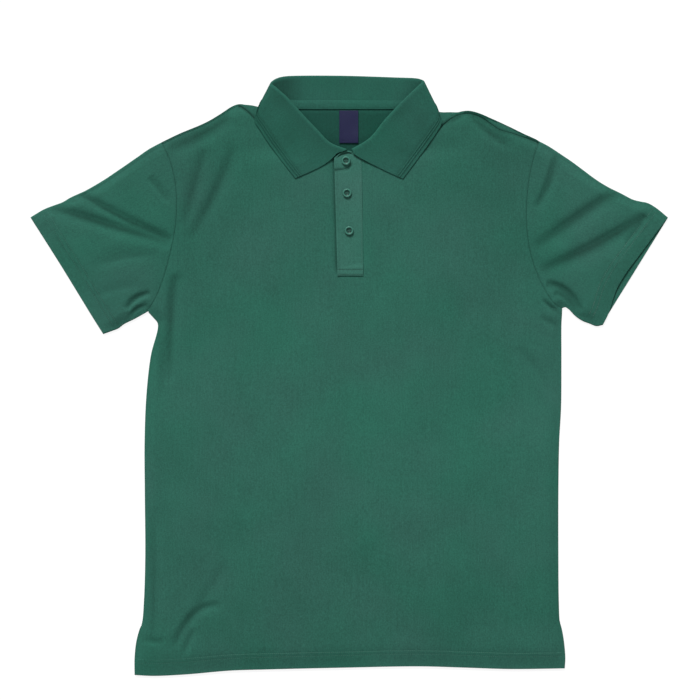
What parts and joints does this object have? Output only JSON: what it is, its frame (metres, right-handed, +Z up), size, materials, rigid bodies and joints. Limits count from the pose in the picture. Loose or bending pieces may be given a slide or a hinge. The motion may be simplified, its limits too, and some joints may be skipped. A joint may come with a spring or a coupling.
{
  "type": "polo shirt",
  "caption": "Men's short-sleeved polo shirt in green knit, laid flat face up, with a turned-down knitted collar, a buttoned placket and side vents.",
  "frame": {"origin": "centre of the shirt's outline, on the surface it lies on", "axes": "+Z up from the surface, +Y towards the collar, +X towards the wearer's left sleeve"},
  "size_m": [0.8171, 0.769, 0.0096],
  "materials": {
    "green_knit": "matt fine knit",
    "green_collar_knit": "matt flat knit with two raised lines along its edge",
    "green_button": "satin",
    "navy_label": "smooth woven"
  },
  "bodies": {
    "root": {"front": "green_knit", "back": "green_knit", "sleeve_wearer_right": "green_knit", "sleeve_wearer_left": "green_knit", "collar": "green_collar_knit", "placket_top": "green_knit", "placket_under": "green_knit", "button_1": "green_button", "button_2": "green_button", "button_3": "green_button", "neck_tape": "green_knit", "label": "navy_label"}
  },
  "joints": []
}
